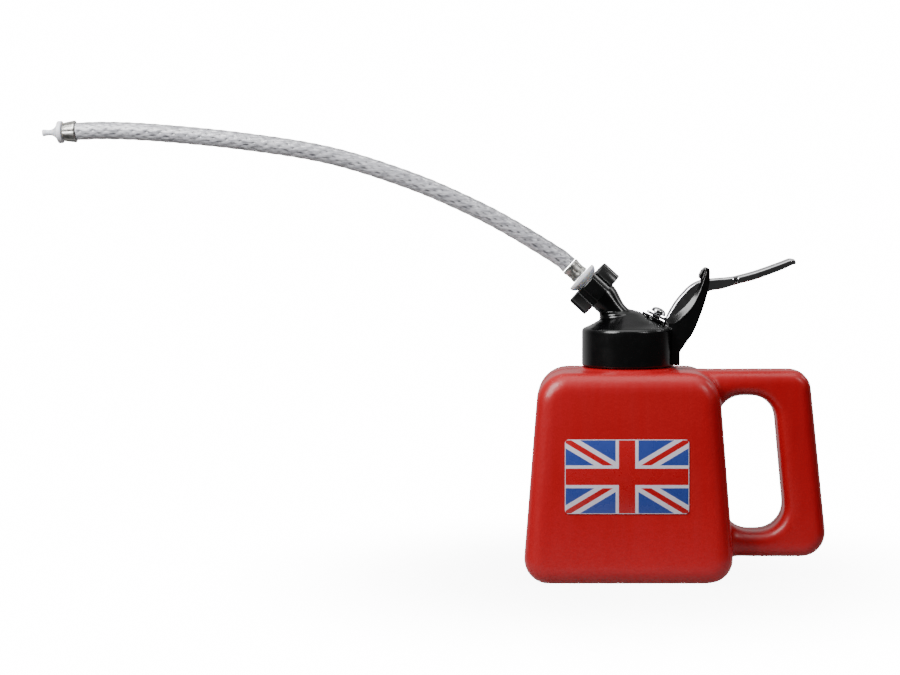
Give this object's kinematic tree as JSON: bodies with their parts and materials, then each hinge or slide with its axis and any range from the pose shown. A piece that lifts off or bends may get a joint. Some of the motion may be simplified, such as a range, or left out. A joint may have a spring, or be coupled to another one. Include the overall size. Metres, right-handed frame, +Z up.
{
  "type": "handy oiler can",
  "caption": "Hand pump oiler: moulded can with a side handle, black pump head, curved thumb lever and a long braided flexible spout with a small nozzle.",
  "frame": {"origin": "centre of the can's flat underside, on the axis of its neck and pump head", "axes": "+Z up along the neck's axis; +X towards the handle and the thumb lever, so the spout points to -X; -Y is the face with the label"},
  "size_m": [0.3512, 0.0634, 0.205],
  "materials": {
    "red_polyethylene": "satin blow-moulded polyethylene",
    "label_vinyl": "printed gloss vinyl",
    "black_nylon": "gloss moulded nylon",
    "chrome_plate": "bright chromium plate on pressed steel",
    "steel": "zinc-plated steel",
    "white_nylon": "white nylon, slightly translucent",
    "natural_plastic": "natural nylon",
    "black_rubber": "oil-resistant rubber",
    "clear_pvc": "clear PVC hose over a grey braid"
  },
  "bodies": {
    "can": {"container": "red_polyethylene", "label": "label_vinyl"},
    "gasket": {"head_gasket": "black_rubber"},
    "head": {"pump_head": "black_nylon", "gland_nut": "black_nylon", "gland_packing": "black_rubber", "packing_washer": "steel", "pump_barrel": "natural_plastic", "foot_valve_body": "natural_plastic", "foot_valve_cage": "steel", "suction_tube": "natural_plastic", "suction_strainer": "natural_plastic", "return_spring": "steel", "delivery_spring": "steel", "pivot_pin": "steel"},
    "foot_ball": {"foot_valve_ball": "steel"},
    "delivery_ball": {"delivery_ball": "steel"},
    "plunger": {"plunger_rod": "chrome_plate", "piston": "black_nylon", "piston_cup": "black_rubber", "piston_nut": "steel"},
    "lever": {"lever": "chrome_plate"},
    "seal": {"spout_seal": "black_rubber"},
    "nut": {"coupling_nut": "black_nylon"},
    "spout": {"spout_adapter": "white_nylon", "base_ferrule": "steel", "spout_hose": "clear_pvc", "tip_ferrule": "steel", "nozzle_tip": "white_nylon"}
  },
  "joints": [
    {"name": "head_rise", "type": "slide", "parent": "can", "child": "gasket", "axis": [0, 0, 1], "range_m": [0, 0.00525]},
    {"name": "head_turn", "type": "hinge", "parent": "gasket", "child": "head", "pos_m": [0, 0, 0.1], "axis": [0, 0, 1], "range_deg": [0, 540]},
    {"name": "lever_press", "type": "hinge", "parent": "head", "child": "lever", "pos_m": [0.02562, 0, 0.11106], "axis": [0, 1, 0], "range_deg": [0, 20], "stiffness_Nm_per_rad": 0.6, "springref_deg": -9.74},
    {"name": "plunger_lift", "type": "slide", "parent": "head", "child": "plunger", "axis": [0.4384, 0, 0.8988], "range_m": [0, 0.0061], "deforming": ["return_spring"]},
    {"name": "foot_ball_lift", "type": "slide", "parent": "head", "child": "foot_ball", "axis": [0.4384, 0, 0.8988], "range_m": [0, 0.0006]},
    {"name": "delivery_ball_lift", "type": "slide", "parent": "head", "child": "delivery_ball", "axis": [-0.7373, 0, 0.6756], "range_m": [0, 0.0008], "stiffness_N_per_m": 60, "springref_m": -0.002, "deforming": ["delivery_spring"]},
    {"name": "spout_rise", "type": "slide", "parent": "head", "child": "seal", "axis": [-0.7373, 0, 0.6756], "range_m": [0, 0.002]},
    {"name": "nut_turn", "type": "hinge", "parent": "seal", "child": "nut", "pos_m": [-0.015, 0, 0.1296], "axis": [-0.7373, 0, 0.6756], "range_deg": [0, 360]},
    {"name": "spout_swivel", "type": "hinge", "parent": "seal", "child": "spout", "pos_m": [-0.015, 0, 0.1296], "axis": [-0.7373, 0, 0.6756], "continuous": true}
  ],
  "couplings": [
    {"joint": "head_turn", "follows": "head_rise", "rad_per_m": 1795.2},
    {"joint": "plunger_lift", "follows": "lever_press", "m_per_rad": 0.0172},
    {"joint": "nut_turn", "follows": "spout_rise", "rad_per_m": 3141.6}
  ]
}
